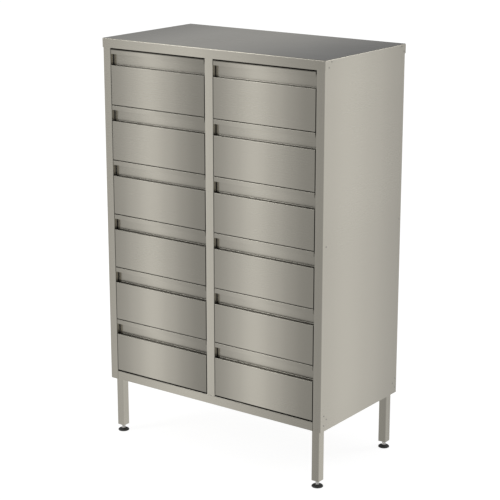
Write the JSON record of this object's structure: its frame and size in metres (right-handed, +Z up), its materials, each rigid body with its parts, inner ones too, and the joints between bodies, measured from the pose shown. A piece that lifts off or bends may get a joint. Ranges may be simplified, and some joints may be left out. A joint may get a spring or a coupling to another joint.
{
  "type": "reagent drawer cabinet",
  "caption": "Free-standing stainless steel drawer cabinet: side-by-side columns of folded-front drawers with finger pockets on telescopic runners, on square legs with levelling feet.",
  "frame": {"origin": "on the floor under the middle of the cabinet", "axes": "+Z up, the drawer fronts face -Y, +X towards the cabinet's right column"},
  "size_m": [0.854, 0.454, 1.342],
  "materials": {
    "stainless": "fine horizontal brushing, satin",
    "zinc_steel": "bright zinc plate",
    "stem_steel": "machined, bright",
    "foot_rubber": "moulded, matt black"
  },
  "bodies": {
    "cabinet": {"top_panel": "stainless", "right_side_panel": "stainless", "left_side_panel": "stainless", "back_panel": "stainless", "bottom_panel": "stainless", "top_rail": "stainless", "centre_post": "stainless", "side_uprights": "zinc_steel", "centre_uprights": "zinc_steel", "outer_runners_left": "zinc_steel", "outer_runners_right": "zinc_steel", "leg_front_left": "stainless", "leg_front_right": "stainless", "leg_back_left": "stainless", "leg_back_right": "stainless"},
    "foot_front_left": {"foot_stem_front_left": "stem_steel", "foot_pad_front_left": "foot_rubber"},
    "foot_front_right": {"foot_stem_front_right": "stem_steel", "foot_pad_front_right": "foot_rubber"},
    "foot_back_left": {"foot_stem_back_left": "stem_steel", "foot_pad_back_left": "foot_rubber"},
    "foot_back_right": {"foot_stem_back_right": "stem_steel", "foot_pad_back_right": "foot_rubber"},
    "drawer_left_1": {"drawer_front_left_1": "stainless", "drawer_box_left_1": "stainless"},
    "middle_left_1": {"middle_runners_left_1": "zinc_steel"},
    "drawer_left_2": {"drawer_front_left_2": "stainless", "drawer_box_left_2": "stainless"},
    "middle_left_2": {"middle_runners_left_2": "zinc_steel"},
    "drawer_left_3": {"drawer_front_left_3": "stainless", "drawer_box_left_3": "stainless"},
    "middle_left_3": {"middle_runners_left_3": "zinc_steel"},
    "drawer_left_4": {"drawer_front_left_4": "stainless", "drawer_box_left_4": "stainless"},
    "middle_left_4": {"middle_runners_left_4": "zinc_steel"},
    "drawer_left_5": {"drawer_front_left_5": "stainless", "drawer_box_left_5": "stainless"},
    "middle_left_5": {"middle_runners_left_5": "zinc_steel"},
    "drawer_left_6": {"drawer_front_left_6": "stainless", "drawer_box_left_6": "stainless"},
    "middle_left_6": {"middle_runners_left_6": "zinc_steel"},
    "drawer_right_1": {"drawer_front_right_1": "stainless", "drawer_box_right_1": "stainless"},
    "middle_right_1": {"middle_runners_right_1": "zinc_steel"},
    "drawer_right_2": {"drawer_front_right_2": "stainless", "drawer_box_right_2": "stainless"},
    "middle_right_2": {"middle_runners_right_2": "zinc_steel"},
    "drawer_right_3": {"drawer_front_right_3": "stainless", "drawer_box_right_3": "stainless"},
    "middle_right_3": {"middle_runners_right_3": "zinc_steel"},
    "drawer_right_4": {"drawer_front_right_4": "stainless", "drawer_box_right_4": "stainless"},
    "middle_right_4": {"middle_runners_right_4": "zinc_steel"},
    "drawer_right_5": {"drawer_front_right_5": "stainless", "drawer_box_right_5": "stainless"},
    "middle_right_5": {"middle_runners_right_5": "zinc_steel"},
    "drawer_right_6": {"drawer_front_right_6": "stainless", "drawer_box_right_6": "stainless"},
    "middle_right_6": {"middle_runners_right_6": "zinc_steel"}
  },
  "joints": [
    {"name": "foot_front_left_height", "type": "slide", "parent": "cabinet", "child": "foot_front_left", "axis": [0, 0, -1], "range_m": [0, 0.02]},
    {"name": "foot_front_right_height", "type": "slide", "parent": "cabinet", "child": "foot_front_right", "axis": [0, 0, -1], "range_m": [0, 0.02]},
    {"name": "foot_back_left_height", "type": "slide", "parent": "cabinet", "child": "foot_back_left", "axis": [0, 0, -1], "range_m": [0, 0.02]},
    {"name": "foot_back_right_height", "type": "slide", "parent": "cabinet", "child": "foot_back_right", "axis": [0, 0, -1], "range_m": [0, 0.02]},
    {"name": "drawer_left_1_slide", "type": "slide", "parent": "cabinet", "child": "drawer_left_1", "axis": [0, -1, 0], "range_m": [0, 0.39]},
    {"name": "middle_left_1_slide", "type": "slide", "parent": "cabinet", "child": "middle_left_1", "axis": [0, -1, 0], "range_m": [0, 0.195]},
    {"name": "drawer_left_2_slide", "type": "slide", "parent": "cabinet", "child": "drawer_left_2", "axis": [0, -1, 0], "range_m": [0, 0.39]},
    {"name": "middle_left_2_slide", "type": "slide", "parent": "cabinet", "child": "middle_left_2", "axis": [0, -1, 0], "range_m": [0, 0.195]},
    {"name": "drawer_left_3_slide", "type": "slide", "parent": "cabinet", "child": "drawer_left_3", "axis": [0, -1, 0], "range_m": [0, 0.39]},
    {"name": "middle_left_3_slide", "type": "slide", "parent": "cabinet", "child": "middle_left_3", "axis": [0, -1, 0], "range_m": [0, 0.195]},
    {"name": "drawer_left_4_slide", "type": "slide", "parent": "cabinet", "child": "drawer_left_4", "axis": [0, -1, 0], "range_m": [0, 0.39]},
    {"name": "middle_left_4_slide", "type": "slide", "parent": "cabinet", "child": "middle_left_4", "axis": [0, -1, 0], "range_m": [0, 0.195]},
    {"name": "drawer_left_5_slide", "type": "slide", "parent": "cabinet", "child": "drawer_left_5", "axis": [0, -1, 0], "range_m": [0, 0.39]},
    {"name": "middle_left_5_slide", "type": "slide", "parent": "cabinet", "child": "middle_left_5", "axis": [0, -1, 0], "range_m": [0, 0.195]},
    {"name": "drawer_left_6_slide", "type": "slide", "parent": "cabinet", "child": "drawer_left_6", "axis": [0, -1, 0], "range_m": [0, 0.39]},
    {"name": "middle_left_6_slide", "type": "slide", "parent": "cabinet", "child": "middle_left_6", "axis": [0, -1, 0], "range_m": [0, 0.195]},
    {"name": "drawer_right_1_slide", "type": "slide", "parent": "cabinet", "child": "drawer_right_1", "axis": [0, -1, 0], "range_m": [0, 0.39]},
    {"name": "middle_right_1_slide", "type": "slide", "parent": "cabinet", "child": "middle_right_1", "axis": [0, -1, 0], "range_m": [0, 0.195]},
    {"name": "drawer_right_2_slide", "type": "slide", "parent": "cabinet", "child": "drawer_right_2", "axis": [0, -1, 0], "range_m": [0, 0.39]},
    {"name": "middle_right_2_slide", "type": "slide", "parent": "cabinet", "child": "middle_right_2", "axis": [0, -1, 0], "range_m": [0, 0.195]},
    {"name": "drawer_right_3_slide", "type": "slide", "parent": "cabinet", "child": "drawer_right_3", "axis": [0, -1, 0], "range_m": [0, 0.39]},
    {"name": "middle_right_3_slide", "type": "slide", "parent": "cabinet", "child": "middle_right_3", "axis": [0, -1, 0], "range_m": [0, 0.195]},
    {"name": "drawer_right_4_slide", "type": "slide", "parent": "cabinet", "child": "drawer_right_4", "axis": [0, -1, 0], "range_m": [0, 0.39]},
    {"name": "middle_right_4_slide", "type": "slide", "parent": "cabinet", "child": "middle_right_4", "axis": [0, -1, 0], "range_m": [0, 0.195]},
    {"name": "drawer_right_5_slide", "type": "slide", "parent": "cabinet", "child": "drawer_right_5", "axis": [0, -1, 0], "range_m": [0, 0.39]},
    {"name": "middle_right_5_slide", "type": "slide", "parent": "cabinet", "child": "middle_right_5", "axis": [0, -1, 0], "range_m": [0, 0.195]},
    {"name": "drawer_right_6_slide", "type": "slide", "parent": "cabinet", "child": "drawer_right_6", "axis": [0, -1, 0], "range_m": [0, 0.39]},
    {"name": "middle_right_6_slide", "type": "slide", "parent": "cabinet", "child": "middle_right_6", "axis": [0, -1, 0], "range_m": [0, 0.195]}
  ],
  "couplings": [
    {"joint": "middle_left_1_slide", "follows": "drawer_left_1_slide", "ratio": 0.5},
    {"joint": "middle_left_2_slide", "follows": "drawer_left_2_slide", "ratio": 0.5},
    {"joint": "middle_left_3_slide", "follows": "drawer_left_3_slide", "ratio": 0.5},
    {"joint": "middle_left_4_slide", "follows": "drawer_left_4_slide", "ratio": 0.5},
    {"joint": "middle_left_5_slide", "follows": "drawer_left_5_slide", "ratio": 0.5},
    {"joint": "middle_left_6_slide", "follows": "drawer_left_6_slide", "ratio": 0.5},
    {"joint": "middle_right_1_slide", "follows": "drawer_right_1_slide", "ratio": 0.5},
    {"joint": "middle_right_2_slide", "follows": "drawer_right_2_slide", "ratio": 0.5},
    {"joint": "middle_right_3_slide", "follows": "drawer_right_3_slide", "ratio": 0.5},
    {"joint": "middle_right_4_slide", "follows": "drawer_right_4_slide", "ratio": 0.5},
    {"joint": "middle_right_5_slide", "follows": "drawer_right_5_slide", "ratio": 0.5},
    {"joint": "middle_right_6_slide", "follows": "drawer_right_6_slide", "ratio": 0.5}
  ]
}
